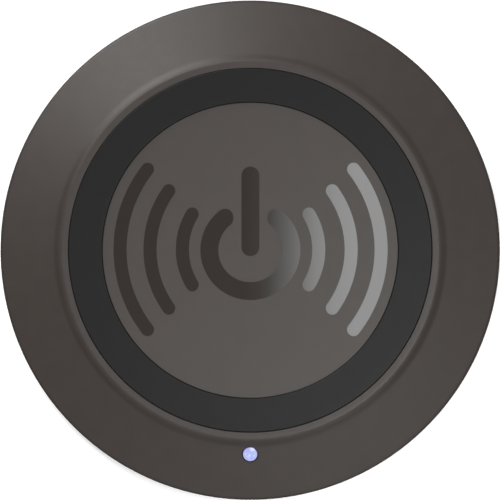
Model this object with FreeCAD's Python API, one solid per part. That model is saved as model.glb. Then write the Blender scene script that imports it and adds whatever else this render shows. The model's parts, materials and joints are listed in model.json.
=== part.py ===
"""Round wireless charging pad, 100 mm across, for phones.

A metal housing with a conical skirt and a raised lip frames a flat plastic charging plate and a
soft grip ring. Under the plate lie the transmitter coil, its ferrite and a plastic carrier, which
stands on the circuit board; the board sits on pegs of the plastic base cover, and three screws pull
the cover up against posts of the housing. A light pipe shows the status light in the front of the
skirt, and a USB-C socket opens in the rear of the rim.

Millimetres. Origin: centre of the pad on the surface that it stands on. +Z is up, -Y is the front,
where the status light is, and +Y is the rear, where the cable plugs in.
"""
import FreeCAD, Part
import math
import os

from FreeCAD import Placement, Rotation, Vector

# ---- Height stack, from the table up ------------------------------------------------------------
foot_height = 0.8
floor_thickness = 1.6        # base cover
board_standoff = 1.1         # base cover to the underside of the board
board_thickness = 1.0
component_headroom = 2.0     # top of the board to the coil carrier
carrier_floor = 0.7
ferrite_thickness = 0.6
ribbon_height = 1.0          # flat litz ribbon of the coil
film_thickness = 0.12        # adhesive film between the coil and the plate
plate_thickness = 1.7        # charging plate, above the coil
grip_proud = 0.4             # grip ring above the plate, so that a phone rests on rubber

# ---- Housing ------------------------------------------------------------------------------------
pad_radius = 50.0
housing_wall = 1.8
skirt_drop = 3.0             # fall of the cone from the foot of the lip to the rim
rim_bevel = 0.5              # between the cone and the rim, in plan and in height
lip_land_width = 1.7         # flat top of the lip
lip_slope_width = 1.1        # lip's outer slope, in plan
lip_rise = 0.9
ledge_width = 2.35           # ledge that carries the charging plate
ledge_thickness = 1.2

# ---- Charging plate and grip ring ---------------------------------------------------------------
disc_radius = 29.55          # raised centre of the plate
grip_ring_width = 6.6
grip_seat_depth = 0.85       # top of the plate down to the grip ring's seat
grip_edge_bevel = 0.25

# ---- Status light -------------------------------------------------------------------------------
light_margin = 0.2           # foot of the lip to the lens
lens_diameter = 2.9
lens_proud = 0.22            # lens above the skirt
lens_bevel = 0.5             # in plan, over the height that stands proud
lens_depth = 2.6             # full diameter of the light pipe, below the lens
pipe_stem_diameter = 2.2
led_length = 2.0
led_width = 1.6
led_height = 0.8
led_window_margin = 0.35     # rim of the light's package round its window
led_window_depth = 0.2
led_gap = 0.3                # status light to the end of the light pipe
shroud_wall = 0.6
shroud_height = 1.0
shroud_gap = 0.5             # status light to the shroud

# ---- USB-C socket -------------------------------------------------------------------------------
usb_opening_width = 8.34
usb_opening_height = 2.56
usb_shell_wall = 0.3
usb_length = 7.35
usb_set_back = 0.45          # mouth of the socket behind the rim's outermost point
usb_rise = 0.1               # socket's axis above the middle of the board
usb_body_depth = 1.9         # moulded block at the socket's rear
usb_tongue_width = 6.69
usb_tongue_thickness = 0.7   # with its contacts
usb_tongue_length = 4.45
usb_wing_width = 1.3         # solder wings at the sides of the shell
usb_wing_length = 2.2
usb_wing_thickness = 0.3
contact_count = 12           # on each side of the tongue
contact_pitch = 0.5
contact_width = 0.25
contact_thickness = 0.1
contact_length = 3.6

# ---- Base cover, screws and foot ----------------------------------------------------------------
foot_outer_radius = 46.6
foot_width = 3.3
screw_count = 3
first_screw_angle = 0.0      # 30 degrees clear of the socket and of the status light
screw_circle_radius = 40.8
screw_thread_diameter = 2.0
screw_length = 6.0           # with its countersunk head
screw_head_diameter = 3.8
cross_recess_width = 0.55
cross_recess_length = 2.0
cross_recess_depth = 0.6
post_width = 5.2             # housing's screw posts
thread_spare_depth = 0.4     # tapped hole beyond the screw's tip

# ---- Circuit board and its pegs -----------------------------------------------------------------
board_margin = 5.2           # board's flats to the screw posts
rear_tab_width = 16.0
rear_tab_margin = 2.2        # rear tab to the rim's inner wall
front_tab_width = 9.0
front_tab_reach = 3.0        # front tab beyond the status light
peg_places = ((26.0, 13.0), (-26.0, 13.0), (-26.0, -13.0), (26.0, -13.0))
peg_width = 2.0
peg_reach = 0.6              # peg above the board, flattened by heat on the real part
peg_shoulder_width = 4.6

# ---- Parts on the board: places are (x, y), bodies are (length, width, height) -------------------
controller_place = (8.0, 3.0)
controller_body = (6.0, 6.0, 0.9)
protocol_place = (-5.5, 29.5)
protocol_body = (4.0, 4.0, 0.8)
package_chamfer = 0.6        # corner of a package that marks its first pin
mosfet_count = 2
mosfet_place = (16.5, 5.0)   # first of a row towards the front
mosfet_spacing = 5.0
mosfet_body = (3.3, 3.3, 0.9)
regulator_place = (9.0, 24.5)
regulator_body = (2.9, 1.6, 1.0)
regulator_lift = 0.1         # body above the board, on its legs
regulator_leg = (0.4, 0.9, 0.25)
regulator_leg_spacing = 1.9
inductor_place = (4.5, 30.0)
inductor_body = (5.4, 5.4, 1.7)
cap_share = 0.2              # each metal end cap's share of a chip's length
cap_proud = 0.05             # end caps stand proud of the chip's body
resonant_count = 4
resonant_place = (-17.0, 6.0)
resonant_spacing = 3.3
resonant_body = (3.2, 2.5, 1.7)
bulk_count = 3
bulk_place = (22.0, 8.0)
bulk_spacing = 3.0
bulk_body = (3.2, 2.0, 1.6)
sense_place = (16.5, -5.0)
sense_body = (1.6, 3.2, 0.6)
small_spacing = 2.4          # rows of small chips, side by side
small_resistor_body = (0.8, 1.6, 0.45)
small_capacitor_body = (0.8, 1.6, 0.8)
gate_resistor_count = 5
gate_resistor_place = (4.0, -5.0)
light_resistor_count = 3
light_resistor_place = (-2.5, -34.0)
control_capacitor_count = 5
control_capacitor_place = (3.0, 10.0)
input_capacitor_count = 3
input_capacitor_place = (-12.0, 22.0)

# ---- Coil, ferrite and carrier ------------------------------------------------------------------
coil_inner_radius = 10.5     # middle of the innermost turn
coil_turns = 5
ribbon_width = 2.2           # two strands of litz, side by side
ribbon_gap = 0.5             # between turns
ferrite_margin = 1.5         # ferrite beyond the coil
ferrite_hole_width = 6.0     # round the thermistor
carrier_wall = 1.4
carrier_hole_width = 10.0
carrier_leg_count = 3
first_leg_angle = 90.0
carrier_leg_width = 3.4
carrier_leg_radius = 24.0
coil_sides = 24              # straight runs in one turn of the spiral
lead_start = 0.8             # straight end of the winding before it turns down
lead_bend_radius = 1.0       # middle of the ribbon
pad_length = 3.0             # solder pads of the leads
pad_width = 1.6
pad_height = 0.3
thermistor_body = (2.2, 1.6, 1.0)
thermistor_wire_width = 0.4
thermistor_wire_spacing = 1.2

# ---- Clearances ---------------------------------------------------------------------------------
slip_gap = 0.1               # parts that drop into each other
rim_gap = 0.12               # base cover in the housing
running_gap = 0.01           # thread in its tapped hole
socket_gap = 0.15            # USB-C shell in its opening
lens_gap = 0.05              # light pipe in its bore
overcut = 1.0                # a cutter's reach past the face that it opens

# ---- Levels and radii that follow ---------------------------------------------------------------
base_bottom = foot_height
floor_top = base_bottom + floor_thickness
board_bottom = floor_top + board_standoff
board_top = board_bottom + board_thickness
carrier_bottom = board_top + component_headroom
ferrite_bottom = carrier_bottom + carrier_floor
ferrite_top = ferrite_bottom + ferrite_thickness
coil_middle = ferrite_top + ribbon_height / 2
coil_top = ferrite_top + ribbon_height
plate_underside = coil_top + film_thickness
plate_top = plate_underside + plate_thickness
grip_seat = plate_top - grip_seat_depth
grip_top = plate_top + grip_proud
ledge_bottom = plate_underside - ledge_thickness

grip_inner_radius = disc_radius + slip_gap
grip_outer_radius = grip_inner_radius + grip_ring_width
lip_bore_radius = grip_outer_radius + slip_gap
lip_top_radius = lip_bore_radius + lip_land_width
lip_foot_radius = lip_top_radius + lip_slope_width
ledge_inner_radius = lip_bore_radius - ledge_width
rim_inner_radius = pad_radius - housing_wall
base_radius = rim_inner_radius - rim_gap
foot_inner_radius = foot_outer_radius - foot_width
lip_foot = plate_top - lip_rise
light_radius = lip_foot_radius + light_margin + lens_diameter / 2
skirt_slope = skirt_drop / (pad_radius - lip_foot_radius)
skirt_angle = math.atan(skirt_slope)
skirt_under = housing_wall / math.cos(skirt_angle)

head_depth = (screw_head_diameter - screw_thread_diameter) / 2
screw_tip = base_bottom + screw_length
board_reach = screw_circle_radius - post_width / 2 - board_margin
coil_pitch = ribbon_width + ribbon_gap
coil_outer_radius = coil_inner_radius + coil_turns * coil_pitch + ribbon_width / 2
ferrite_reach = coil_outer_radius + ferrite_margin
carrier_inner_reach = ferrite_reach + slip_gap
usb_middle = (board_bottom + board_top) / 2 + usb_rise
usb_mouth = pad_radius - usb_set_back
usb_rear = usb_mouth - usb_length
usb_shell_width = usb_opening_width + 2 * usb_shell_wall
usb_shell_height = usb_opening_height + 2 * usb_shell_wall


def skirt_height(radius):
    """Height of the cone's outer face at a distance from the axis."""
    return lip_foot - (radius - lip_foot_radius) * skirt_slope


led_top = board_top + led_height
light_height = skirt_height(light_radius)
led_y = -light_radius + (light_height - led_top) * math.tan(skirt_angle)
pipe_length = (light_height - led_top) / math.cos(skirt_angle) - led_gap


# ---- Shape helpers ------------------------------------------------------------------------------
def prism(points, bottom, top):
    """Upright solid from the corners (x, y) of its outline."""
    corners = [Vector(x, y, bottom) for x, y in points]
    return Part.Face(Part.makePolygon(corners + corners[:1])).extrude(Vector(0, 0, top - bottom))


def turned(*corners):
    """Solid of revolution about Z from corners (radius, height)."""
    points = [Vector(radius, 0, height) for radius, height in corners]
    face = Part.Face(Part.makePolygon(points + points[:1]))
    return face.revolve(Vector(0, 0, 0), Vector(0, 0, 1), 360)


def rod(diameter, bottom, top, x=0.0, y=0.0):
    """Upright cylinder."""
    return Part.makeCylinder(diameter / 2, top - bottom, Vector(x, y, bottom))


def block(width, length, bottom, top, x=0.0, y=0.0):
    """Upright box centred on (x, y)."""
    return Part.makeBox(width, length, top - bottom, Vector(x - width / 2, y - length / 2, bottom))


def octagon(reach, bottom, top):
    """Regular octagon whose flats stand `reach` from the axis."""
    side = reach * math.tan(math.pi / 8)
    right = [(reach, -side), (reach, side), (side, reach), (-side, reach)]
    return prism(right + [(-x, -y) for x, y in right], bottom, top)


def stadium(width, height, middle, start, end):
    """Bar along Y with a full-round oval section, from y = start to y = end."""
    flat = (width - height) / 2
    r = height / 2
    lower_left = Vector(-flat, start, middle - r)
    lower_right = Vector(flat, start, middle - r)
    upper_right = Vector(flat, start, middle + r)
    upper_left = Vector(-flat, start, middle + r)
    wire = Part.Wire([
        Part.LineSegment(lower_left, lower_right).toShape(),
        Part.Arc(lower_right, Vector(width / 2, start, middle), upper_right).toShape(),
        Part.LineSegment(upper_right, upper_left).toShape(),
        Part.Arc(upper_left, Vector(-width / 2, start, middle), lower_left).toShape(),
    ])
    return Part.Face(wire).extrude(Vector(0, end - start, 0))


def circle_places(count, radius, first_angle):
    """Points evenly spaced on a circle, as (x, y) pairs."""
    angles = [math.radians(first_angle + 360.0 * i / count) for i in range(count)]
    return [(radius * math.cos(a), radius * math.sin(a)) for a in angles]


def on_light_axis(shape):
    """Moves a shape built round Z, with its zero on the skirt's face, to the light pipe's place."""
    axis = Vector(0, -math.sin(skirt_angle), math.cos(skirt_angle))
    place = Vector(0, -light_radius, light_height)
    shape.Placement = Placement(place, Rotation(Vector(0, 0, 1), axis))
    return shape


def fused(shapes):
    """One solid from several that touch or overlap."""
    return shapes[0].multiFuse(shapes[1:]).removeSplitter()


# ---- Housing ------------------------------------------------------------------------------------
screw_places = circle_places(screw_count, screw_circle_radius, first_screw_angle)


def housing_shell():
    """Turned form: rim, conical skirt, raised lip and the ledge under the charging plate."""
    rim_top = skirt_height(pad_radius - rim_bevel)
    under_wall = skirt_height(rim_inner_radius) - skirt_under
    ledge_meets_skirt = lip_foot_radius + (lip_foot - skirt_under - ledge_bottom) / skirt_slope
    return turned(
        (rim_inner_radius, base_bottom),
        (pad_radius, base_bottom),
        (pad_radius, rim_top - rim_bevel),
        (pad_radius - rim_bevel, rim_top),
        (lip_foot_radius, lip_foot),
        (lip_top_radius, plate_top),
        (lip_bore_radius, plate_top),
        (lip_bore_radius, plate_underside),
        (ledge_inner_radius, plate_underside),
        (ledge_inner_radius, ledge_bottom),
        (ledge_meets_skirt, ledge_bottom),
        (rim_inner_radius, under_wall),
    )


def screw_post(angle):
    """Web from the rim inwards, under the skirt, that takes one screw."""
    inner = screw_circle_radius - post_width / 2
    outer = pad_radius - housing_wall / 2
    side = [Vector(inner, -post_width / 2, floor_top), Vector(outer, -post_width / 2, floor_top),
            Vector(outer, -post_width / 2, skirt_height(outer) - skirt_under / 2),
            Vector(inner, -post_width / 2, skirt_height(inner) - skirt_under / 2)]
    web = Part.Face(Part.makePolygon(side + side[:1])).extrude(Vector(0, post_width, 0))
    web.rotate(Vector(0, 0, 0), Vector(0, 0, 1), angle)
    return web


def make_housing():
    webs = [screw_post(first_screw_angle + 360.0 * i / screw_count) for i in range(screw_count)]
    body = fused([housing_shell()] + webs)
    thread_bore = screw_thread_diameter + 2 * running_gap
    thread_end = screw_tip + thread_spare_depth
    cutters = [rod(thread_bore, base_bottom, thread_end, x, y) for x, y in screw_places]
    cutters.append(on_light_axis(rod(lens_diameter + 2 * lens_gap, -2 * housing_wall, housing_wall)))
    cutters.append(stadium(usb_shell_width + 2 * socket_gap, usb_shell_height + 2 * socket_gap, usb_middle,
                           usb_rear, pad_radius + overcut))
    return body.cut(cutters)


# ---- Charging plate and grip ring ---------------------------------------------------------------
def make_cover_plate():
    edge = lip_bore_radius - slip_gap
    return turned(
        (0, plate_underside),
        (edge, plate_underside),
        (edge, grip_seat),
        (disc_radius, grip_seat),
        (disc_radius, plate_top),
        (0, plate_top),
    )


def make_grip_ring():
    return turned(
        (grip_inner_radius, grip_seat),
        (grip_outer_radius, grip_seat),
        (grip_outer_radius, grip_top - grip_edge_bevel),
        (grip_outer_radius - grip_edge_bevel, grip_top),
        (grip_inner_radius + grip_edge_bevel, grip_top),
        (grip_inner_radius, grip_top - grip_edge_bevel),
    )


# ---- Status light -------------------------------------------------------------------------------
def make_light_pipe():
    """Clear pipe along the skirt's normal: a lens, slightly proud of the skirt, and a thinner stem."""
    r = lens_diameter / 2
    stem_r = pipe_stem_diameter / 2
    return on_light_axis(turned(
        (0, -pipe_length),
        (stem_r, -pipe_length),
        (stem_r, -lens_depth),
        (r, -lens_depth),
        (r, 0),
        (r - lens_bevel, lens_proud),
        (0, lens_proud),
    ))


def make_status_led():
    body = block(led_length, led_width, board_top, led_top, 0, led_y)
    window = block(led_length - 2 * led_window_margin, led_width - 2 * led_window_margin,
                   led_top - led_window_depth, led_top + overcut, 0, led_y)
    return body.cut(window)


def make_led_shroud():
    """Dark square sleeve round the status light, which keeps its light in the pipe."""
    inner = max(led_length, led_width) + 2 * shroud_gap
    outer = inner + 2 * shroud_wall
    top = board_top + shroud_height
    sleeve = block(outer, outer, board_top, top, 0, led_y)
    return sleeve.cut(block(inner, inner, board_top - overcut, top + overcut, 0, led_y))


# ---- Base cover, screws and foot ----------------------------------------------------------------
def make_base_cover():
    """Round cover with countersunk holes, and shouldered pegs for the board."""
    solids = [rod(2 * base_radius, base_bottom, floor_top)]
    for x, y in peg_places:
        solids.append(block(peg_shoulder_width, peg_shoulder_width, base_bottom + floor_thickness / 2,
                            board_bottom, x, y))
        solids.append(block(peg_width, peg_width, floor_top, board_top + peg_reach, x, y))
    cutters = []
    hole_radius = screw_thread_diameter / 2 + slip_gap
    head_radius = screw_head_diameter / 2 + slip_gap
    for x, y in screw_places:
        cutters.append(rod(2 * hole_radius, base_bottom, floor_top + overcut, x, y))
        cutters.append(Part.makeCone(head_radius, hole_radius, head_radius - hole_radius,
                                     Vector(x, y, base_bottom)))
    return fused(solids).cut(cutters)


def countersunk_screw(x, y):
    """Screw with its point up: conical head with a cross recess, and a plain shank for its thread."""
    r = screw_thread_diameter / 2
    head_radius = screw_head_diameter / 2
    body = turned((0, 0), (head_radius, 0), (r, head_depth), (r, screw_length), (0, screw_length))
    cross = [block(cross_recess_length, cross_recess_width, -overcut, cross_recess_depth),
             block(cross_recess_width, cross_recess_length, -overcut, cross_recess_depth)]
    screw = body.cut(cross)
    screw.translate(Vector(x, y, base_bottom))
    return screw


def make_base_screws():
    return Part.makeCompound([countersunk_screw(x, y) for x, y in screw_places])


def make_foot_ring():
    return turned((foot_inner_radius, 0), (foot_outer_radius, 0),
                  (foot_outer_radius, foot_height), (foot_inner_radius, foot_height))


# ---- Circuit board and its parts ----------------------------------------------------------------
def make_main_board():
    """Octagon with a tab to the socket and one to the status light."""
    tab_end = rim_inner_radius - rear_tab_margin
    front_end = -led_y + front_tab_reach
    body = fused([
        octagon(board_reach, board_bottom, board_top),
        block(rear_tab_width, tab_end, board_bottom, board_top, 0, tab_end / 2),
        block(front_tab_width, front_end, board_bottom, board_top, 0, -front_end / 2),
    ])
    low = board_bottom - overcut
    high = board_top + overcut
    notch_width = usb_shell_width + 2 * slip_gap
    cutters = [block(notch_width, 2 * usb_length, low, high, 0, usb_rear - slip_gap + usb_length)]
    hole = peg_width + 2 * slip_gap
    cutters += [block(hole, hole, low, high, x, y) for x, y in peg_places]
    return body.cut(cutters)


def package(x, y, body):
    """Chip package with one corner cut off, which marks its first pin."""
    length, width, height = body
    right = x + length / 2
    left = x - length / 2
    back = y + width / 2
    front = y - width / 2
    outline = [(left, front), (right, front), (right, back), (left + package_chamfer, back),
               (left, back - package_chamfer)]
    return prism(outline, board_top, board_top + height)


def capped_chip(x, y, body):
    """Chip with a ceramic body between two metal end caps."""
    length, width, height = body
    cap = length * cap_share
    top = board_top + height
    solids = [block(length - cap, width - 2 * cap_proud, board_top + cap_proud, top - cap_proud, x, y)]
    for side in (-1, 1):
        solids.append(block(cap, width, board_top, top, x + side * (length - cap) / 2, y))
    return fused(solids)


def row(make, count, place, step, body):
    """Equal parts at even steps."""
    return [make(place[0] + step[0] * i, place[1] + step[1] * i, body) for i in range(count)]


def plain_chip(x, y, body):
    """Small chip as a plain body."""
    length, width, height = body
    return block(length, width, board_top, board_top + height, x, y)


def make_controller_ic():
    return package(*controller_place, controller_body)


def make_protocol_ic():
    return package(*protocol_place, protocol_body)


def make_bridge_mosfets():
    return Part.makeCompound(row(package, mosfet_count, mosfet_place, (0, -mosfet_spacing), mosfet_body))


def make_voltage_regulator():
    """Small three-leg package."""
    x, y = regulator_place
    length, width, height = regulator_body
    leg_length, leg_reach, leg_height = regulator_leg
    bottom = board_top + regulator_lift
    side = regulator_leg_spacing / 2
    legs = [block(leg_length, leg_reach, board_top, board_top + leg_height, x + dx, y + dy * width / 2)
            for dx, dy in ((-side, -1), (side, -1), (0, 1))]
    return fused([block(length, width, bottom, bottom + height, x, y)] + legs)


def make_power_inductor():
    return package(*inductor_place, inductor_body)


def make_resonant_capacitors():
    step = (0, -resonant_spacing)
    return Part.makeCompound(row(capped_chip, resonant_count, resonant_place, step, resonant_body))


def make_bulk_capacitors():
    return Part.makeCompound(row(capped_chip, bulk_count, bulk_place, (0, -bulk_spacing), bulk_body))


def make_sense_resistor():
    return plain_chip(*sense_place, sense_body)


def make_chip_resistors():
    """A row beside the controller, and one on the way to the status light."""
    step = (small_spacing, 0)
    body = small_resistor_body
    chips = row(plain_chip, gate_resistor_count, gate_resistor_place, step, body)
    chips += row(plain_chip, light_resistor_count, light_resistor_place, step, body)
    return Part.makeCompound(chips)


def make_chip_capacitors():
    """A row beside the controller, and one at the power input."""
    step = (small_spacing, 0)
    body = small_capacitor_body
    chips = row(plain_chip, control_capacitor_count, control_capacitor_place, step, body)
    chips += row(plain_chip, input_capacitor_count, input_capacitor_place, step, body)
    return Part.makeCompound(chips)


# ---- USB-C socket -------------------------------------------------------------------------------
def make_usb_shell():
    """Seamless oval shell on two wings that are soldered to the board."""
    solids = [stadium(usb_shell_width, usb_shell_height, usb_middle, usb_rear, usb_mouth)]
    wing_y = usb_rear + (usb_body_depth + usb_wing_length) / 2
    solids.append(block(usb_shell_width + 2 * usb_wing_width, usb_wing_length, board_top,
                        board_top + usb_wing_thickness, 0, wing_y))
    bore = stadium(usb_opening_width, usb_opening_height, usb_middle, usb_rear - overcut, usb_mouth + overcut)
    return fused(solids).cut(bore)


def make_usb_insulator():
    """Moulded block that closes the shell's rear, with the tongue that carries the contacts."""
    body = stadium(usb_opening_width, usb_opening_height, usb_middle, usb_rear, usb_rear + usb_body_depth)
    root = usb_rear + usb_body_depth / 2
    tip = usb_rear + usb_body_depth + usb_tongue_length
    half = usb_tongue_thickness / 2 - contact_thickness
    tongue = block(usb_tongue_width, tip - root, usb_middle - half, usb_middle + half, 0, (root + tip) / 2)
    return fused([body, tongue])


def make_usb_contacts():
    """Flat contacts on both faces of the tongue."""
    y = usb_rear + usb_body_depth + contact_length / 2
    first = -(contact_count - 1) / 2 * contact_pitch
    outer = usb_tongue_thickness / 2
    inner = outer - contact_thickness
    bars = []
    for low, high in ((-outer, -inner), (inner, outer)):
        for i in range(contact_count):
            bars.append(block(contact_width, contact_length, usb_middle + low, usb_middle + high,
                              first + i * contact_pitch, y))
    return Part.makeCompound(bars)


# ---- Coil, ferrite and carrier ------------------------------------------------------------------
inner_end = Vector(-coil_inner_radius, 0, coil_middle)
outer_end = Vector(-coil_inner_radius - coil_turns * coil_pitch, 0, coil_middle)


def ribbon_section(end):
    """Outline of the ribbon, square to Y."""
    w = ribbon_width / 2
    h = ribbon_height / 2
    corners = [end + Vector(dx, 0, dz) for dx, dz in ((-w, -h), (w, -h), (w, h), (-w, h))]
    return Part.makePolygon(corners + corners[:1])


def make_coil_winding():
    """Flat spiral ribbon, clockwise from its inner end, in short straight runs."""
    inner = []
    outer = []
    for i in range(coil_turns * coil_sides + 1):
        middle = coil_inner_radius + coil_pitch * i / coil_sides
        angle = math.pi - 2 * math.pi * i / coil_sides
        for side, radius in ((inner, middle - ribbon_width / 2), (outer, middle + ribbon_width / 2)):
            side.append((radius * math.cos(angle), radius * math.sin(angle)))
    return prism(inner + outer[::-1], ferrite_top, coil_top)


def lead_foot_y(ahead):
    """Place along Y of a lead's upright part. `ahead` is +1 or -1."""
    return ahead * (lead_start + lead_bend_radius)


def lead(end, ahead):
    """End of the winding: straight on, then down to its solder pad."""
    bend_start = Vector(end.x, ahead * lead_start, end.z)
    bend_end = Vector(end.x, lead_foot_y(ahead), end.z - lead_bend_radius)
    diagonal = lead_bend_radius * math.sin(math.pi / 4)
    bend_middle = bend_start + Vector(0, ahead * diagonal, diagonal - lead_bend_radius)
    path = Part.Wire([
        Part.LineSegment(end, bend_start).toShape(),
        Part.Arc(bend_start, bend_middle, bend_end).toShape(),
        Part.LineSegment(bend_end, Vector(end.x, bend_end.y, board_top + pad_height)).toShape(),
    ])
    return path.makePipeShell([ribbon_section(end)], True, False)


def make_coil_leads():
    return Part.makeCompound([lead(inner_end, -1), lead(outer_end, 1)])


def make_lead_solder():
    """Solder pads of the two leads on the board."""
    top = board_top + pad_height
    return Part.makeCompound([
        block(pad_length, pad_width, board_top, top, end.x, lead_foot_y(ahead))
        for end, ahead in ((inner_end, -1), (outer_end, 1))])


def lead_slots(bottom, top):
    """Passages for both leads, from their bend down."""
    width = ribbon_width + 2 * slip_gap
    length = lead_bend_radius + ribbon_height / 2 + slip_gap
    return [block(width, length, bottom, top, end.x, ahead * (lead_start + length / 2))
            for end, ahead in ((inner_end, -1), (outer_end, 1))]


def make_coil_adhesive():
    hole = block(ferrite_hole_width, ferrite_hole_width, coil_top - overcut, plate_underside + overcut)
    return octagon(coil_outer_radius, coil_top, plate_underside).cut(hole)


def make_ferrite_shield():
    low = ferrite_bottom - overcut
    high = ferrite_top + overcut
    sheet = octagon(ferrite_reach, ferrite_bottom, ferrite_top)
    return sheet.cut([block(ferrite_hole_width, ferrite_hole_width, low, high)] + lead_slots(low, high))


def make_coil_carrier():
    """Tray that locates the ferrite, on three legs."""
    low = carrier_bottom - overcut
    tray = octagon(carrier_inner_reach + carrier_wall, carrier_bottom, coil_middle)
    legs = [block(carrier_leg_width, carrier_leg_width, board_top, ferrite_bottom, x, y)
            for x, y in circle_places(carrier_leg_count, carrier_leg_radius, first_leg_angle)]
    cutters = [octagon(carrier_inner_reach, ferrite_bottom, coil_top),
               block(carrier_hole_width, carrier_hole_width, low, coil_top)]
    return fused([tray] + legs).cut(cutters + lead_slots(low, coil_top))


def make_thermistor():
    """Small body under the middle of the plate, on two stiff wires from the board."""
    length, width, height = thermistor_body
    bottom = plate_underside - height
    solids = [block(length, width, bottom, plate_underside)]
    for side in (-1, 1):
        solids.append(block(thermistor_wire_width, thermistor_wire_width, board_top, bottom,
                            side * thermistor_wire_spacing / 2))
    return fused(solids)


PIECES = {
    "housing": make_housing,
    "cover_plate": make_cover_plate,
    "grip_ring": make_grip_ring,
    "light_pipe": make_light_pipe,
    "status_led": make_status_led,
    "led_shroud": make_led_shroud,
    "base_cover": make_base_cover,
    "base_screws": make_base_screws,
    "foot_ring": make_foot_ring,
    "main_board": make_main_board,
    "controller_ic": make_controller_ic,
    "protocol_ic": make_protocol_ic,
    "bridge_mosfets": make_bridge_mosfets,
    "voltage_regulator": make_voltage_regulator,
    "power_inductor": make_power_inductor,
    "resonant_capacitors": make_resonant_capacitors,
    "bulk_capacitors": make_bulk_capacitors,
    "sense_resistor": make_sense_resistor,
    "chip_resistors": make_chip_resistors,
    "chip_capacitors": make_chip_capacitors,
    "usb_shell": make_usb_shell,
    "usb_insulator": make_usb_insulator,
    "usb_contacts": make_usb_contacts,
    "coil_winding": make_coil_winding,
    "coil_leads": make_coil_leads,
    "lead_solder": make_lead_solder,
    "coil_adhesive": make_coil_adhesive,
    "ferrite_shield": make_ferrite_shield,
    "coil_carrier": make_coil_carrier,
    "thermistor": make_thermistor,
}


def main():
    os.makedirs("parts", exist_ok=True)
    for name, make in PIECES.items():
        shape = make()
        shape.exportStep(os.path.join("parts", name + ".step"))
        print(f"{name}: {len(shape.Solids)} solid(s), {shape.Volume:.1f} mm3, valid {shape.isValid()}")


main()
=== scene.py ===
"""Finish, lights and camera of the round wireless charging pad.

Metres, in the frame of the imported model: +Z up, -Y the front with the status light, +Y the rear
with the USB-C socket. The turned pieces and the socket's shell are remade here, with many more
sides and with their small roundings. The other pieces keep their solids and get a material each.
"""
import json
import math

import bmesh
import bpy
from mathutils import Matrix, Vector


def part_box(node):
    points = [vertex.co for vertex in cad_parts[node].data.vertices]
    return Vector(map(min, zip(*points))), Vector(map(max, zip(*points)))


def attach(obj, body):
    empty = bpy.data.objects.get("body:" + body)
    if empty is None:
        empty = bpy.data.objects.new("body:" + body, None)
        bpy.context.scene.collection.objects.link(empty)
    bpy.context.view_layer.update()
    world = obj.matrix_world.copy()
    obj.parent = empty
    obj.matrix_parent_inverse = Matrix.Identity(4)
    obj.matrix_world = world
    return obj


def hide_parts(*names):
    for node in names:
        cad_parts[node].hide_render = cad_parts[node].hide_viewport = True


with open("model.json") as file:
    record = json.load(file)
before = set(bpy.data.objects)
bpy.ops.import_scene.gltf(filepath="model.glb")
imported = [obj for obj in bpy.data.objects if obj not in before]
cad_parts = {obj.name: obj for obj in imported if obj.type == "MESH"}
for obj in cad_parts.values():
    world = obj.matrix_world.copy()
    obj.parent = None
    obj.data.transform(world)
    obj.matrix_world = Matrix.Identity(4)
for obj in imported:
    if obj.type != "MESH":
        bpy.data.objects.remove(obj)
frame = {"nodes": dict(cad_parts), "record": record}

MM = 0.001
SAME_LEVEL = 0.02 * MM       # corners this close in height count as one level
SAME_PLACE = 0.001 * MM      # points this close count as one
SHARP_ANGLE = math.radians(28)   # edges that turn more than this aren't shaded smooth
TURN_SIDES = 288             # sides of the large turned pieces
SMALL_SIDES = 72             # sides of the small ones

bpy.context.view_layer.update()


# ---- Sizes read from the frame ------------------------------------------------------------------
def radii(node, level=None):
    """Smallest and largest distance of a CAD node's corners from the axis, all or those at a level."""
    corners = [v.co for v in frame["nodes"][node].data.vertices]
    if level is not None:
        corners = [co for co in corners if abs(co.z - level) < SAME_LEVEL]
    found = [math.hypot(co.x, co.y) for co in corners]
    return min(found), max(found)


def heights(node):
    """Lowest and highest level of a CAD node."""
    low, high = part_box(node)
    return low.z, high.z


pad_radius = radii("housing")[1]
rim_bottom, plate_top = heights("housing")
grip_inner = radii("grip_ring")[0]
grip_seat, grip_top = heights("grip_ring")
plate_underside = heights("cover_plate")[0]
plate_edge = radii("cover_plate")[1]
base_edge = radii("base_cover")[1]
board_bottom, board_top = heights("main_board")
foot_inner, foot_outer = radii("foot_ring")
shell_low, shell_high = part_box("usb_shell")
pipe_end = heights("light_pipe")[0]

# ---- Sizes of the construction that the frame doesn't give --------------------------------------
housing_wall = 1.8 * MM
skirt_drop = 3.0 * MM
lip_rise = 0.9 * MM
ledge_width = 2.35 * MM
ledge_thickness = 1.2 * MM
slip_gap = 0.1 * MM
light_margin = 0.2 * MM
lens_diameter = 2.9 * MM
lens_proud = 0.22 * MM
lens_depth = 2.6 * MM
pipe_stem_diameter = 2.2 * MM
usb_shell_wall = 0.3 * MM
usb_shell_width = 8.94 * MM  # without its wings
usb_shell_height = 3.16 * MM
usb_wing_place = 0.95 * MM   # forward of the shell's rear
usb_wing_length = 2.2 * MM
usb_wing_thickness = 0.3 * MM
socket_gap = 0.15 * MM
screw_circle_radius = 40.8 * MM
screw_head_diameter = 3.8 * MM
screw_thread_diameter = 2.0 * MM
screw_length = 6.0 * MM
screw_count = 3
post_width = 5.2 * MM
thread_gap = 0.01 * MM
thread_spare_depth = 0.4 * MM
board_standoff = 1.1 * MM
floor_thickness = 1.6 * MM
peg_places = ((26 * MM, 13 * MM), (-26 * MM, 13 * MM), (-26 * MM, -13 * MM), (26 * MM, -13 * MM))
peg_width = 2.0 * MM
peg_reach = 0.6 * MM
peg_shoulder_width = 4.6 * MM

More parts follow.
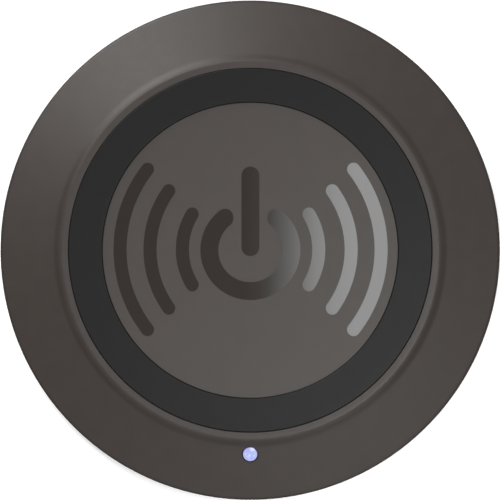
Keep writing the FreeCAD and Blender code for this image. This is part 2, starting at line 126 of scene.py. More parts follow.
# ---- Roundings and gaps of the finished surfaces ------------------------------------------------
rim_round = 0.8 * MM
rim_bottom_round = 0.3 * MM
lip_round = 1.6 * MM
lip_foot_round = 1.8 * MM
fine_edge = 0.12 * MM        # lip's bore, housing's lower edge and plate
grip_edge = 0.15 * MM
foot_edge = 0.25 * MM
base_edge_round = 0.25 * MM
screw_head_edge = 0.08 * MM
screw_tip_round = 0.2 * MM
socket_flare = 0.25 * MM
lens_gap = 0.20 * MM         # wider than the real gap, so that it reads as a dark line
grip_plate_gap = 0.025 * MM
grip_lip_gap = 0.04 * MM
overcut = 0.2 * MM           # a cutter's reach past the face that it opens

# ---- Sizes that follow --------------------------------------------------------------------------
lip_bore, lip_top = radii("housing", plate_top)
disc_radius = grip_inner - slip_gap
lip_foot_height = plate_top - lip_rise
lip_foot = radii("housing", lip_foot_height)[1]
light_radius = lip_foot + light_margin + lens_diameter / 2
ledge_inner = lip_bore - ledge_width
rim_inner = pad_radius - housing_wall
base_top = board_bottom - board_standoff
skirt_slope = skirt_drop / (pad_radius - lip_foot)
skirt_angle = math.atan(skirt_slope)
skirt_under = housing_wall / math.cos(skirt_angle)
usb_middle = (shell_high.z + shell_low.z) / 2
screw_angles = [2 * math.pi * i / screw_count for i in range(screw_count)]
screw_places = [(screw_circle_radius * math.cos(a), screw_circle_radius * math.sin(a)) for a in screw_angles]


def skirt_height(radius):
    """Height of the cone's outer face at a distance from the axis."""
    return lip_foot_height - (radius - lip_foot) * skirt_slope


# ---- Mesh helpers -------------------------------------------------------------------------------
def rounded(corners):
    """Outline through corners (radius, height, rounding), with an arc of short runs at each rounding.

    A point just past each end of the arc keeps the shading of the flat beside it flat.
    """
    guard = 0.04 * MM
    steps = 5
    points = []
    count = len(corners)
    for i, (r, z, rounding) in enumerate(corners):
        here = Vector((r, z))
        if rounding <= 0:
            points.append(here)
            continue
        back = (Vector(corners[i - 1][:2]) - here).normalized()
        ahead = (Vector(corners[(i + 1) % count][:2]) - here).normalized()
        half = back.angle(ahead) / 2
        middle = here + (back + ahead).normalized() * (rounding / math.sin(half))
        reach = rounding / math.tan(half)
        first = here + back * reach - middle
        last = here + ahead * reach - middle
        points.append(here + back * (reach + guard))
        for k in range(steps + 1):
            points.append(middle + first.slerp(last, k / steps) * rounding)
        points.append(here + ahead * (reach + guard))
    return points


def lathe(points, sides, closed=True):
    """Mesh turned about Z from (radius, height) points. A point on the axis becomes a single vertex."""
    mesh = bmesh.new()
    rings = []
    for r, z in points:
        if r < SAME_PLACE:
            rings.append([mesh.verts.new((0, 0, z))])
            continue
        angles = [2 * math.pi * k / sides for k in range(sides)]
        rings.append([mesh.verts.new((r * math.cos(a), r * math.sin(a), z)) for a in angles])
    pairs = list(zip(rings, rings[1:]))
    if closed and len(rings[0]) > 1 and len(rings[-1]) > 1:
        pairs.append((rings[-1], rings[0]))
    for lower, upper in pairs:
        for k in range(sides):
            j = (k + 1) % sides
            if len(lower) == 1:
                mesh.faces.new((lower[0], upper[j], upper[k]))
            elif len(upper) == 1:
                mesh.faces.new((lower[k], lower[j], upper[0]))
            else:
                mesh.faces.new((lower[k], lower[j], upper[j], upper[k]))
    bmesh.ops.recalc_face_normals(mesh, faces=mesh.faces)
    return mesh


def smooth(data):
    """Smooth shading, except at sharp edges."""
    data.shade_smooth()
    data.set_sharp_from_angle(angle=SHARP_ANGLE)


def to_object(name, mesh):
    """Finished object from a bmesh."""
    data = bpy.data.meshes.new(name)
    mesh.to_mesh(data)
    mesh.free()
    smooth(data)
    piece = bpy.data.objects.new(name, data)
    bpy.context.scene.collection.objects.link(piece)
    return piece


def carve(piece, cutter, operation="DIFFERENCE"):
    """Cuts a second object out of the first, or joins it to that, and deletes it."""
    modifier = piece.modifiers.new("carve", "BOOLEAN")
    modifier.operation = operation
    modifier.solver = "EXACT"
    modifier.object = cutter
    bpy.context.view_layer.update()
    evaluated = piece.evaluated_get(bpy.context.evaluated_depsgraph_get())
    data = bpy.data.meshes.new_from_object(evaluated)
    mesh = bmesh.new()
    mesh.from_mesh(data)
    bmesh.ops.remove_doubles(mesh, verts=mesh.verts, dist=SAME_PLACE)
    mesh.to_mesh(data)
    mesh.free()
    piece.modifiers.clear()
    old = piece.data
    piece.data = data
    data.name = piece.name
    bpy.data.meshes.remove(old)
    bpy.data.objects.remove(cutter)
    smooth(data)


def oval(width, height):
    """Outline (x, z) of a bar with full-round ends."""
    steps = 16
    flat = (width - height) / 2
    r = height / 2
    angles = [math.pi * k / steps for k in range(steps + 1)]
    right = [(flat + r * math.sin(a), -r * math.cos(a)) for a in angles]
    return right + [(-x, -z) for x, z in right]


def skin(mesh, rings):
    """Walls between rings of equal vertex counts, each joined to the next."""
    for near, far in zip(rings, rings[1:]):
        for k in range(len(near)):
            j = (k + 1) % len(near)
            mesh.faces.new((near[k], near[j], far[j], far[k]))


def close_ends(mesh, rings):
    """Faces at the first and the last ring."""
    mesh.faces.new(rings[0])
    mesh.faces.new(rings[-1])


def loft_y(mesh, sections):
    """Joins equal outlines (y, [(x, z), ...]) along Y into one skin. Returns their vertices."""
    rings = [[mesh.verts.new((x, y, z)) for x, z in outline] for y, outline in sections]
    skin(mesh, rings)
    return rings


def dress(piece, slot, material, *nodes):
    """Rides the piece on the pad, gives it its finish, and stands it in for CAD nodes. The slot is not used.
    """
    piece.data.materials.clear()
    piece.data.materials.append(material)
    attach(piece, "root")
    if nodes:
        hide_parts(*nodes)


# ---- Material helpers ---------------------------------------------------------------------------
class Finish:
    """Builds one node material round a Principled shader."""

    def __init__(self, name, color, roughness, metallic=0.0, specular=0.5):
        self.material = bpy.data.materials.new(name)
        self.material.use_nodes = True
        self.nodes = self.material.node_tree.nodes
        self.links = self.material.node_tree.links
        self.shader = self.nodes["Principled BSDF"]
        self.shader.inputs["Base Color"].default_value = (*color, 1)
        self.shader.inputs["Roughness"].default_value = roughness
        self.shader.inputs["Metallic"].default_value = metallic
        self.shader.inputs["Specular IOR Level"].default_value = specular
        self.position = self.nodes.new("ShaderNodeTexCoord").outputs["Object"]

    def noise(self, scale, detail=3.0, stretch=None):
        """Noise over the object, `scale` features to the metre."""
        texture = self.nodes.new("ShaderNodeTexNoise")
        texture.inputs["Scale"].default_value = scale
        texture.inputs["Detail"].default_value = detail
        source = self.position
        if stretch is not None:
            mapping = self.nodes.new("ShaderNodeMapping")
            mapping.inputs["Scale"].default_value = stretch
            self.links.new(source, mapping.inputs["Vector"])
            source = mapping.outputs["Vector"]
        self.links.new(source, texture.inputs["Vector"])
        return texture.outputs["Fac"]

    def ramp(self, value, stops):
        """Colour by value, from (position, colour) stops."""
        node = self.nodes.new("ShaderNodeValToRGB")
        elements = node.color_ramp.elements
        while len(elements) < len(stops):
            elements.new(0.5)
        for element, (place, color) in zip(elements, stops):
            element.position = place
            element.color = (*color, 1)
        self.links.new(value, node.inputs["Fac"])
        return node.outputs["Color"]

    def between(self, value, low, high):
        """Value from 0..1 to low..high."""
        node = self.nodes.new("ShaderNodeMapRange")
        node.inputs["To Min"].default_value = low
        node.inputs["To Max"].default_value = high
        self.links.new(value, node.inputs["Value"])
        return node.outputs["Result"]

    def mottle(self, color, spread, scale):
        """Base colour that varies a little, by noise."""
        dark = tuple(c * (1 - spread) for c in color)
        light = tuple(c * (1 + spread) for c in color)
        blend = self.ramp(self.noise(scale), [(0.35, dark), (0.65, light)])
        self.links.new(blend, self.shader.inputs["Base Color"])

    def uneven_gloss(self, low, high, scale):
        """Roughness that varies between two values, by noise."""
        self.links.new(self.between(self.noise(scale), low, high), self.shader.inputs["Roughness"])

    def bump(self, height, strength, distance):
        """Relief from a height value; distance in metres."""
        node = self.nodes.new("ShaderNodeBump")
        node.inputs["Strength"].default_value = strength
        node.inputs["Distance"].default_value = distance
        self.links.new(height, node.inputs["Height"])
        self.links.new(node.outputs["Normal"], self.shader.inputs["Normal"])


# ---- Finishes -----------------------------------------------------------------------------------
def housing_finish():
    """Satin dark coating on metal, with a very fine grain."""
    color = (0.0227, 0.0178, 0.0149)
    finish = Finish("housing_metal", color, 0.42, specular=0.275)
    finish.mottle(color, spread=0.05, scale=350)
    finish.uneven_gloss(0.38, 0.46, scale=900)
    finish.bump(finish.noise(5200, detail=2.0), strength=0.10, distance=0.02 * MM)
    return finish.material


def plate_finish():
    """Soft-touch coating of the charging plate."""
    color = (0.0250, 0.0200, 0.0169)
    finish = Finish("cover_plate", color, 0.42, specular=0.275)
    finish.mottle(color, spread=0.03, scale=260)
    finish.uneven_gloss(0.39, 0.45, scale=700)
    finish.bump(finish.noise(6500, detail=2.0), strength=0.08, distance=0.015 * MM)
    return finish.material


PRINT_SHADES = (             # place across the plate in mm, colour
    (-1.0, (0.0130, 0.0096, 0.0076)),
    (1.5, (0.0169, 0.0123, 0.0108)),
    (3.5, (0.0211, 0.0201, 0.0179)),
    (7.5, (0.0520, 0.0508, 0.0481)),
    (9.5, (0.0741, 0.0706, 0.0677)),
    (13.0, (0.1076, 0.1076, 0.1055)),
    (17.0, (0.1304, 0.1325, 0.1304)),
    (21.0, (0.1430, 0.1430, 0.1430)),
)


def print_finish():
    """Print on the plate, which runs from near black on the left to silver on the right."""
    finish = Finish("plate_print", (0.1, 0.1, 0.1), 0.45, specular=0.10)
    split = finish.nodes.new("ShaderNodeSeparateXYZ")
    finish.links.new(finish.position, split.inputs["Vector"])
    reach = 30 * MM          # from the middle to either end of the colour ramp
    across = finish.nodes.new("ShaderNodeMapRange")
    across.inputs["From Min"].default_value = -reach
    across.inputs["From Max"].default_value = reach
    finish.links.new(split.outputs["X"], across.inputs["Value"])
    stops = [((place * MM + reach) / (2 * reach), color) for place, color in PRINT_SHADES]
    finish.links.new(finish.ramp(across.outputs["Result"], stops), finish.shader.inputs["Base Color"])
    finish.uneven_gloss(0.40, 0.48, scale=1200)
    return finish.material


def grip_finish():
    """Matt silicone with a fine moulded grain."""
    color = (0.0053, 0.0053, 0.0053)
    finish = Finish("grip_rubber", color, 0.4, specular=0.115)
    finish.mottle(color, spread=0.06, scale=500)
    finish.uneven_gloss(0.36, 0.44, scale=1500)
    finish.bump(finish.noise(4200), strength=0.16, distance=0.02 * MM)
    return finish.material


def foot_finish():
    """Matt black silicone of the foot."""
    color = (0.012, 0.012, 0.0125)
    finish = Finish("foot_rubber", color, 0.7)
    finish.mottle(color, spread=0.12, scale=700)
    finish.uneven_gloss(0.62, 0.78, scale=1500)
    finish.bump(finish.noise(3600), strength=0.25, distance=0.03 * MM)
    return finish.material


def base_finish():
    """Black moulded plastic with a spark-eroded texture."""
    color = (0.016, 0.0155, 0.015)
    finish = Finish("base_plastic", color, 0.5)
    finish.mottle(color, spread=0.10, scale=600)
    finish.uneven_gloss(0.42, 0.58, scale=2600)
    finish.bump(finish.noise(2600, detail=4.0), strength=0.35, distance=0.04 * MM)
    return finish.material


def lens_finish():
    """Lit clear lens: pale violet, with pale sparks towards its middle, and painted shade at its rim."""
    finish = Finish("light_pipe", (0.05, 0.05, 0.10), 0.15, specular=0.3)
    offset = finish.nodes.new("ShaderNodeVectorMath")
    offset.operation = "DISTANCE"
    offset.inputs[1].default_value = (0, -light_radius, skirt_height(light_radius))
    finish.links.new(finish.position, offset.inputs[0])
    reach = finish.nodes.new("ShaderNodeMapRange")
    reach.inputs["From Max"].default_value = lens_diameter / 2
    finish.links.new(offset.outputs["Value"], reach.inputs["Value"])
    # Glow colour by distance from the middle. The last stop fades it to near black at the rim: painted shade
    # for the dark line round the lens.
    glow_with_edge_shade = [(0.0, (0.31, 0.45, 0.76)), (0.5, (0.34, 0.39, 0.76)),
             (0.93, (0.41, 0.40, 0.70)), (1.0, (0.03, 0.03, 0.08))]
    sparks = [(0.0, (0.8, 0.8, 0.8)), (0.6, (0.4, 0.4, 0.4)), (0.85, (0.0, 0.0, 0.0))]
    spread = finish.ramp(reach.outputs["Result"], sparks)
    spots = finish.ramp(finish.noise(1500, detail=1.0), [(0.46, (0.0, 0.0, 0.0)), (0.62, (1.0, 1.0, 1.0))])
    amount = finish.nodes.new("ShaderNodeMath")
    amount.operation = "MULTIPLY"
    finish.links.new(spread, amount.inputs[0])
    finish.links.new(spots, amount.inputs[1])
    both = finish.nodes.new("ShaderNodeMix")
    both.data_type = "RGBA"
    both.inputs["B"].default_value = (0.60, 0.82, 0.95, 1)
    finish.links.new(amount.outputs["Value"], both.inputs["Factor"])
    finish.links.new(finish.ramp(reach.outputs["Result"], glow_with_edge_shade), both.inputs["A"])
    finish.links.new(both.outputs["Result"], finish.shader.inputs["Emission Color"])
    finish.shader.inputs["Emission Strength"].default_value = 1.0
    return finish.material


def metal_finish(name, color, low, high, stretch=None):
    """Bare or plated metal with fine marks."""
    finish = Finish(name, color, (low + high) / 2, metallic=1.0)
    finish.uneven_gloss(low, high, scale=900)
    finish.mottle(color, spread=0.06, scale=700)
    finish.bump(finish.noise(4000, detail=2.0, stretch=stretch), strength=0.08, distance=0.01 * MM)
    return finish.material


def plastic_finish(name, color, low, high, spread=0.08):
    """Moulded plastic, ceramic or lacquer."""
    finish = Finish(name, color, (low + high) / 2)
    finish.uneven_gloss(low, high, scale=1800)
    finish.mottle(color, spread, scale=600)
    finish.bump(finish.noise(2880), strength=0.15, distance=0.02 * MM)
    return finish.material


METALS = (                   # slot, colour, least and most roughness
    ("screw_steel", (0.10, 0.10, 0.105), 0.32, 0.5),
    ("contact_gold", (0.83, 0.60, 0.24), 0.2, 0.3),
    ("copper_wire", (0.70, 0.32, 0.16), 0.3, 0.45),
    ("solder", (0.68, 0.68, 0.69), 0.2, 0.4),
)
PLASTICS = (                 # slot, colour, least and most roughness
    ("led_package", (0.80, 0.79, 0.72), 0.3, 0.4),
    ("dark_plastic", (0.015, 0.015, 0.015), 0.5, 0.65),
    ("chip_package", (0.020, 0.020, 0.021), 0.5, 0.65),
    ("inductor_ferrite", (0.07, 0.07, 0.07), 0.55, 0.7),
    ("ceramic_chip", (0.35, 0.24, 0.14), 0.3, 0.45),
    ("socket_plastic", (0.012, 0.012, 0.012), 0.4, 0.55),
    ("adhesive_film", (0.45, 0.42, 0.36), 0.5, 0.65),
    ("ferrite", (0.045, 0.045, 0.048), 0.6, 0.75),
    ("carrier_plastic", (0.50, 0.50, 0.48), 0.45, 0.6),
    ("thermistor_bead", (0.03, 0.03, 0.03), 0.2, 0.35),
)


def make_finishes():
    """One material for each slot of the record, and one for the print."""
    drawn = (1, 0.05, 1)     # marks of the socket's steel run along it
    finishes = {
        "housing_metal": housing_finish(),
        "cover_plate": plate_finish(),
        "plate_print": print_finish(),
        "grip_rubber": grip_finish(),
        "foot_rubber": foot_finish(),
        "base_plastic": base_finish(),
        "light_pipe": lens_finish(),
        "socket_steel": metal_finish("socket_steel", (0.55, 0.55, 0.56), 0.24, 0.38, stretch=drawn),
        "circuit_board": plastic_finish("circuit_board", (0.012, 0.075, 0.030), 0.25, 0.4, spread=0.2),
    }
    finishes.update({row[0]: metal_finish(*row) for row in METALS})
    finishes.update({row[0]: plastic_finish(*row) for row in PLASTICS})
    return finishes


# ---- Pieces -------------------------------------------------------------------------------------
def on_light_axis(piece):
    """Moves a mesh built round Z, with its zero on the skirt's face, to the light pipe's place."""
    axis = Vector((0, -math.sin(skirt_angle), math.cos(skirt_angle)))
    turn = Vector((0, 0, 1)).rotation_difference(axis).to_matrix().to_4x4()
    place = Matrix.Translation((0, -light_radius, skirt_height(light_radius)))
    piece.data.transform(place @ turn)
    return piece


def cylinder(name, radius, low, high, x=0.0, y=0.0):
    """Plain upright cylinder, for cutting."""
    piece = to_object(name, lathe([(0, low), (radius, low), (radius, high), (0, high)], SMALL_SIDES))
    piece.data.transform(Matrix.Translation((x, y, 0)))
    return piece


def upright_box(name, width, length, low, high, x, y):
    """Box centred on (x, y)."""
    mesh = bmesh.new()
    middle = Matrix.Translation((x, y, (low + high) / 2))
    bmesh.ops.create_cube(mesh, size=1.0, matrix=middle @ Matrix.Diagonal((width, length, high - low, 1)))
    return to_object(name, mesh)


def screw_post(angle):
    """Web from the rim inwards, under the skirt, that takes one screw."""
    inner = screw_circle_radius - post_width / 2
    outer = pad_radius - housing_wall / 2
    outline = [(inner, base_top), (outer, base_top), (outer, skirt_height(outer) - skirt_under / 2),
               (inner, skirt_height(inner) - skirt_under / 2)]
    mesh = bmesh.new()
    close_ends(mesh, loft_y(mesh, [(-post_width / 2, outline), (post_width / 2, outline)]))
    bmesh.ops.recalc_face_normals(mesh, faces=mesh.faces)
    post = to_object("screw_post", mesh)
    post.data.transform(Matrix.Rotation(angle, 4, "Z"))
    return post


def make_housing(finishes):
    """Turned metal shell with its screw posts, the light's bore and the socket's mouth."""
    rim_top = skirt_height(pad_radius)
    under_wall = skirt_height(rim_inner) - skirt_under
    ledge_bottom = plate_underside - ledge_thickness
    ledge_meets_skirt = lip_foot + (lip_foot_height - skirt_under - ledge_bottom) / skirt_slope
    outline = rounded([
        (rim_inner, rim_bottom, fine_edge),
        (pad_radius, rim_bottom, rim_bottom_round),
        (pad_radius, rim_top, rim_round),
        (lip_foot, lip_foot_height, lip_foot_round),
        (lip_top, plate_top, lip_round),
        (lip_bore, plate_top, fine_edge),
        (lip_bore, plate_underside, 0),
        (ledge_inner, plate_underside, 0),
        (ledge_inner, ledge_bottom, 0),
        (ledge_meets_skirt, ledge_bottom, 0),
        (rim_inner, under_wall, 0),
    ])
    housing = to_object("housing_shell", lathe(outline, TURN_SIDES))
    bore = cylinder("lens_bore", lens_diameter / 2 + lens_gap, -2 * housing_wall, housing_wall)
    carve(housing, on_light_axis(bore))
    carve(housing, socket_cutter())
    thread_bore = screw_thread_diameter / 2 + thread_gap
    thread_end = rim_bottom + screw_length + thread_spare_depth
    for angle, (x, y) in zip(screw_angles, screw_places):
        carve(housing, screw_post(angle), "UNION")
        carve(housing, cylinder("thread_bore", thread_bore, rim_bottom, thread_end, x, y))
    dress(housing, "housing_metal", finishes["housing_metal"], "housing")


def socket_cutter():
    """Flared oval bar that opens the socket's mouth in the rim."""
    width = usb_shell_width + 2 * socket_gap
    height = usb_shell_height + 2 * socket_gap
    mouth = (pad_radius + overcut, socket_flare + overcut)
    sections = []
    for y, grow in ((shell_low.y, 0), (pad_radius - socket_flare, 0), mouth):
        outline = [(x, z + usb_middle) for x, z in oval(width + 2 * grow, height + 2 * grow)]
        sections.append((y, outline))
    mesh = bmesh.new()
    close_ends(mesh, loft_y(mesh, sections))
    bmesh.ops.recalc_face_normals(mesh, faces=mesh.faces)
    return to_object("socket_cutter", mesh)


def make_usb_shell(finishes):
    """Oval tube with a rounded mouth, on its two wings."""
    width = usb_shell_width
    height = usb_shell_height
    wall = usb_shell_wall
    lip = wall / 2
    lip_steps = 4
    rear = shell_low.y
    mouth = shell_high.y
    outer = [(rear, 0)]      # places along Y, each with how far the skin is inset there
    outer += [(mouth - lip + lip * math.sin(a), lip - lip * math.cos(a))
              for a in [math.pi / 2 * k / lip_steps for k in range(lip_steps + 1)]]
    inner = [(y, wall - inset) for y, inset in reversed(outer)]
    sections = [(y, [(x, z + usb_middle) for x, z in oval(width - 2 * inset, height - 2 * inset)])
                for y, inset in outer + inner]
    mesh = bmesh.new()
    rings = loft_y(mesh, sections)
    skin(mesh, [rings[-1], rings[0]])
    bmesh.ops.remove_doubles(mesh, verts=mesh.verts, dist=SAME_PLACE)
    bmesh.ops.recalc_face_normals(mesh, faces=mesh.faces)
    shell = to_object("usb_shell_skin", mesh)
    root = width / 2 - wall      # inside the wall at the wings' level
    span = shell_high.x - root
    for side in (-1, 1):
        wing = upright_box("wing", span, usb_wing_length, board_top, board_top + usb_wing_thickness,
                           side * (root + span / 2), rear + usb_wing_place + usb_wing_length / 2)
        carve(shell, wing, "UNION")
    dress(shell, "socket_steel", finishes["socket_steel"], "usb_shell")


def make_plate(finishes):
    """Flat plate whose raised middle lies inside the grip ring."""
    outline = rounded([
        (0, plate_underside, 0),
        (plate_edge, plate_underside, 0),
        (plate_edge, grip_seat, 0),
        (disc_radius, grip_seat, 0),
        (disc_radius, plate_top, fine_edge),
        (0, plate_top, 0),
    ])
    plate = to_object("charging_plate", lathe(outline, TURN_SIDES, closed=False))
    dress(plate, "cover_plate", finishes["cover_plate"], "cover_plate")


def make_grip(finishes):
    """Soft ring that fills its seat almost to the plate and to the lip."""
    inner = disc_radius + grip_plate_gap
    outer = lip_bore - grip_lip_gap
    outline = rounded([
        (inner, grip_seat, 0),
        (outer, grip_seat, 0),
        (outer, grip_top, grip_edge),
        (inner, grip_top, grip_edge),
    ])
    grip = to_object("grip_ring_soft", lathe(outline, TURN_SIDES))
    dress(grip, "grip_rubber", finishes["grip_rubber"], "grip_ring")


def make_lens(finishes):
    """Domed lens with its stem."""
    r = lens_diameter / 2
    ball = (r * r + lens_proud * lens_proud) / (2 * lens_proud)
    dome_angle = math.asin(r / ball)
    steps = 10
    dome = [(ball * math.sin(a), lens_proud - ball + ball * math.cos(a))
            for a in [dome_angle * (1 - k / steps) for k in range(steps + 1)]]
    stem = pipe_stem_diameter / 2
    drop = (pipe_end - skirt_height(light_radius)) / math.cos(skirt_angle)
    stem_end = drop + stem * math.tan(skirt_angle)
    outline = [(0, stem_end), (stem, stem_end), (stem, -lens_depth), (r, -lens_depth)] + dome
    lens = to_object("status_lens", lathe([Vector(p) for p in outline], SMALL_SIDES, closed=False))
    dress(on_light_axis(lens), "light_pipe", finishes["light_pipe"], "light_pipe")


def make_base(finishes):
    """Underside cover with countersunk holes, and shouldered pegs for the board."""
    outline = rounded([
        (0, rim_bottom, 0),
        (base_edge, rim_bottom, base_edge_round),
        (base_edge, base_top, 0),
        (0, base_top, 0),
    ])
    base = to_object("base_cover_moulding", lathe(outline, TURN_SIDES, closed=False))
    hole = screw_thread_diameter / 2 + slip_gap
    head = screw_head_diameter / 2 + slip_gap
    sink = [(0, rim_bottom - overcut), (head, rim_bottom - overcut), (head, rim_bottom),
            (hole, rim_bottom + head - hole), (hole, base_top + overcut), (0, base_top + overcut)]
    for x, y in screw_places:
        cutter = to_object("screw_hole", lathe(sink, SMALL_SIDES, closed=False))
        cutter.data.transform(Matrix.Translation((x, y, 0)))
        carve(base, cutter)
    root = rim_bottom + floor_thickness / 2
    for x, y in peg_places:
        for width, low, high in ((peg_shoulder_width, root, board_bottom),
                                 (peg_width, base_top, board_top + peg_reach)):
            carve(base, upright_box("peg", width, width, low, high, x, y), "UNION")
    dress(base, "base_plastic", finishes["base_plastic"], "base_cover")


def make_screw(x, y):
    """Countersunk screw with a tapered cross recess."""
    r = screw_thread_diameter / 2
    head = screw_head_diameter / 2
    outline = rounded([
        (0, 0, 0),
        (head, 0, screw_head_edge),
        (r, head - r, 0),
        (r, screw_length, screw_tip_round),
        (0, screw_length, 0),
    ])
    screw = to_object("base_screw", lathe(outline, SMALL_SIDES, closed=False))
    for turn in (0, math.pi / 2):
        carve(screw, cross_cutter(turn))
    screw.data.transform(Matrix.Translation((x, y, rim_bottom)))
    return screw


def cross_cutter(turn):
    """Wedge for one arm of a cross recess, wide at the head's face."""
    half_length = 1.0 * MM
    half_width = 0.28 * MM
    depth = 0.6 * MM
    levels = ((-overcut, 1.05), (0.0, 1.0), (depth, 0.55))   # height, share of the length
    mesh = bmesh.new()
    rings = []
    for z, share in levels:
        x = half_length * share
        y = half_width * (share + 1) / 2
        rings.append([mesh.verts.new(corner) for corner in ((-x, -y, z), (x, -y, z), (x, y, z), (-x, y, z))])
    skin(mesh, rings)
    close_ends(mesh, rings)
    bmesh.ops.recalc_face_normals(mesh, faces=mesh.faces)
    piece = to_object("cross_cutter", mesh)
    piece.data.transform(Matrix.Rotation(turn, 4, "Z"))
    return piece


def make_screws(finishes):
    """Three screws; the first stands in for the node that holds all three."""
    for i, (x, y) in enumerate(screw_places):
        nodes = ("base_screws",) if i == 0 else ()
        screw = make_screw(x, y)
        screw.name = f"base_screw_{i + 1}"
        dress(screw, "screw_steel", finishes["screw_steel"], *nodes)


def make_foot(finishes):
    """Rubber ring that the pad stands on."""
    outline = rounded([
        (foot_inner, 0, foot_edge),
        (foot_outer, 0, foot_edge),
        (foot_outer, rim_bottom, 0),
        (foot_inner, rim_bottom, 0),
    ])
    foot = to_object("foot_ring_soft", lathe(outline, TURN_SIDES))
    dress(foot, "foot_rubber", finishes["foot_rubber"], "foot_ring")


# ---- Print on the plate -------------------------------------------------------------------------
print_height = 0.02 * MM     # above the plate, and as much below its face
tip_width = 0.04 * MM        # of a stroke's round end, at its very tip
cap_steps = 10               # in half of a round end
signal_arcs = ((26.07 * MM, 37.9), (20.09 * MM, 35.7), (13.62 * MM, 31.2))   # radius, half the angle
signal_middle = (0.085 * MM, 0.15 * MM)
signal_width = 2.61 * MM
signal_steps = 48
power_radius = 8.20 * MM     # of the stand-by sign's open ring
power_width = 3.57 * MM
power_middle = (0.05 * MM, 0.02 * MM)
power_gap = 38.5             # degrees from the top to the middle of each round end
power_steps = 96
bar_width = 3.58 * MM
bar_top = 16.7 * MM
bar_bottom = -1.19 * MM
bar_steps = 4


def stroke_rows(length, width, steps):
    """Places along a stroke with round ends, each with half of its width there."""
    half = width / 2
    cap = [(half * math.sin(a), half * math.cos(a))
           for a in [math.pi / 2 * k / cap_steps for k in range(cap_steps + 1)]]
    start = [(-along, wide) for along, wide in reversed(cap)]
    run = [(length * k / steps, half) for k in range(1, steps)]
    end = [(length + along, wide) for along, wide in cap]
    return start + run + end


def print_stroke(mesh, place, length, width, steps):
    """Thin raised stroke; `place` turns (along, across) into (x, y)."""
    low = plate_top - print_height
    high = plate_top + print_height
    rows = []
    for along, half in stroke_rows(length, width, steps):
        half = max(half, tip_width / 2)
        left = place(along, -half)
        right = place(along, half)
        corners = ((*left, low), (*right, low), (*right, high), (*left, high))
        rows.append([mesh.verts.new(corner) for corner in corners])
    skin(mesh, rows)
    close_ends(mesh, rows)


def on_arc(middle, radius, first_angle):
    """Place function of an arc; the angle grows along the stroke."""
    def place(along, across):
        angle = math.radians(first_angle) + along / radius
        reach = radius + across
        return (middle[0] + reach * math.cos(angle), middle[1] + reach * math.sin(angle))
    return place


def on_bar(along, across):
    """Place function of the stand-by sign's bar."""
    return (power_middle[0] + across, bar_bottom + bar_width / 2 + along)


def make_print(finishes):
    """Three signal arcs on each side of a stand-by sign: an open ring and an upright bar."""
    mesh = bmesh.new()
    for radius, half_angle in signal_arcs:
        for heading in (0, 180):
            arc = on_arc(signal_middle, radius, heading - half_angle)
            length = radius * math.radians(2 * half_angle)
            print_stroke(mesh, arc, length, signal_width, signal_steps)
    ring = on_arc(power_middle, power_radius, 90 + power_gap)
    sweep = power_radius * math.radians(360 - 2 * power_gap)
    print_stroke(mesh, ring, sweep, power_width, power_steps)
    print_stroke(mesh, on_bar, bar_top - bar_bottom - bar_width, bar_width, bar_steps)
    bmesh.ops.recalc_face_normals(mesh, faces=mesh.faces)
    figure = to_object("plate_print", mesh)
    dress(figure, "cover_plate", finishes["plate_print"])


# ---- Stage --------------------------------------------------------------------------------------
def make_floor():
    """Plain pale floor, which also glows a little, and which glossy faces don't mirror."""
    glow = 0.12
    half = 3.0
    mesh = bmesh.new()
    corners = [mesh.verts.new((x * half, y * half, 0)) for x, y in ((-1, -1), (1, -1), (1, 1), (-1, 1))]
    mesh.faces.new(corners)
    floor = to_object("floor", mesh)
    color = (0.94, 0.94, 0.94)
    finish = Finish("floor", color, 0.9)
    finish.mottle(color, spread=0.01, scale=2)
    finish.shader.inputs["Emission Color"].default_value = (1, 1, 1, 1)
    finish.shader.inputs["Emission Strength"].default_value = glow
    floor.data.materials.append(finish.material)
    floor.visible_glossy = False


LIGHTS = (                   # name, azimuth from +X, angle from straight up, distance, size, power
    ("key", 120, 36, 1.2, 0.5, 7.85),
    ("low_key", 121, 74, 1.2, 0.9, 16.5),
    ("fill", 280, 34, 1.2, 0.45, 0.57),
    ("low_fill", 300, 66, 1.2, 0.6, 1.3),
    ("near_fill", 315, 15, 0.4, 0.15, 0.725),
)
WALLS = ((0, 0.68), (90, 0.80), (180, 0.40), (270, 1.10))    # azimuth, strength
WALL_HEIGHT = math.radians(30)                               # middle of each wall above the floor
WALL_EDGE = 0.5              # cosine of the angle from the middle of a wall at which it has faded out
DIM = 0.03                   # light from all round


def towards(azimuth, zenith):
    """Unit vector from two angles, the second from straight up."""
    level = math.sin(zenith)
    return Vector((math.cos(azimuth) * level, math.sin(azimuth) * level, math.cos(zenith)))


def area_light(name, azimuth, zenith, distance, size, power):
    """Round soft light that looks at the pad. Angles in degrees."""
    data = bpy.data.lights.new(name, "AREA")
    data.shape = "DISK"
    data.size = size
    data.energy = power
    lamp = bpy.data.objects.new(name, data)
    outwards = towards(math.radians(azimuth), math.radians(zenith))
    lamp.location = outwards * distance
    lamp.rotation_euler = outwards.to_track_quat("Z", "Y").to_euler()
    lamp.visible_camera = False
    bpy.context.scene.collection.objects.link(lamp)


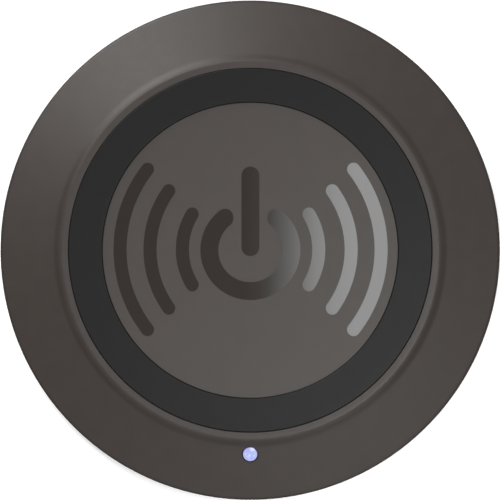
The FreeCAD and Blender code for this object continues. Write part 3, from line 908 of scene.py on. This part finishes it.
def make_world():
    """Dim studio with soft bright walls."""
    world = bpy.data.worlds.new("studio")
    world.use_nodes = True
    nodes = world.node_tree.nodes
    links = world.node_tree.links
    direction = nodes.new("ShaderNodeTexCoord").outputs["Generated"]
    glow = None
    for azimuth, strength in WALLS:
        facing = nodes.new("ShaderNodeVectorMath")
        facing.operation = "DOT_PRODUCT"
        facing.inputs[1].default_value = towards(math.radians(azimuth), math.pi / 2 - WALL_HEIGHT)
        links.new(direction, facing.inputs[0])
        wall = nodes.new("ShaderNodeMapRange")
        wall.inputs["From Min"].default_value = WALL_EDGE
        wall.inputs["To Max"].default_value = strength
        links.new(facing.outputs["Value"], wall.inputs["Value"])
        total = nodes.new("ShaderNodeMath")
        if glow is None:
            total.inputs[0].default_value = DIM
        else:
            links.new(glow, total.inputs[0])
        links.new(wall.outputs["Result"], total.inputs[1])
        glow = total.outputs["Value"]
    links.new(glow, nodes["Background"].inputs["Strength"])
    nodes["Background"].inputs["Color"].default_value = (1, 1, 1, 1)
    bpy.context.scene.world = world


def make_camera():
    """Straight above the pad, with the status light at the bottom of the picture."""
    focal_length = 600           # long, so that the picture has next to no perspective
    sensor = 36
    share = 0.9991               # of the picture's half width that the pad's radius takes
    aside = (-0.03 * MM, 0.035 * MM)
    above_rim = pad_radius / share / (sensor / 2 / focal_length)
    data = bpy.data.cameras.new("camera")
    data.lens = focal_length
    data.sensor_width = sensor
    camera = bpy.data.objects.new("camera", data)
    camera.location = (*aside, skirt_height(pad_radius) + above_rim)
    bpy.context.scene.collection.objects.link(camera)
    bpy.context.scene.camera = camera
    bpy.context.scene.view_settings.view_transform = "Standard"


# ---- Assembly -----------------------------------------------------------------------------------
def dress_inner_pieces(finishes):
    """Gives every CAD node the material of its slot."""
    slots = {row["node"]: row["material_slot"] for row in frame["record"]["subparts"]}
    for name, node in frame["nodes"].items():
        node.data.materials.clear()
        node.data.materials.append(finishes[slots[name]])


make_camera()
make_floor()
make_world()
for light in LIGHTS:
    area_light(*light)
finishes = make_finishes()
dress_inner_pieces(finishes)
make_housing(finishes)
make_plate(finishes)
make_print(finishes)
make_grip(finishes)
make_lens(finishes)
make_base(finishes)
make_screws(finishes)
make_foot(finishes)
make_usb_shell(finishes)
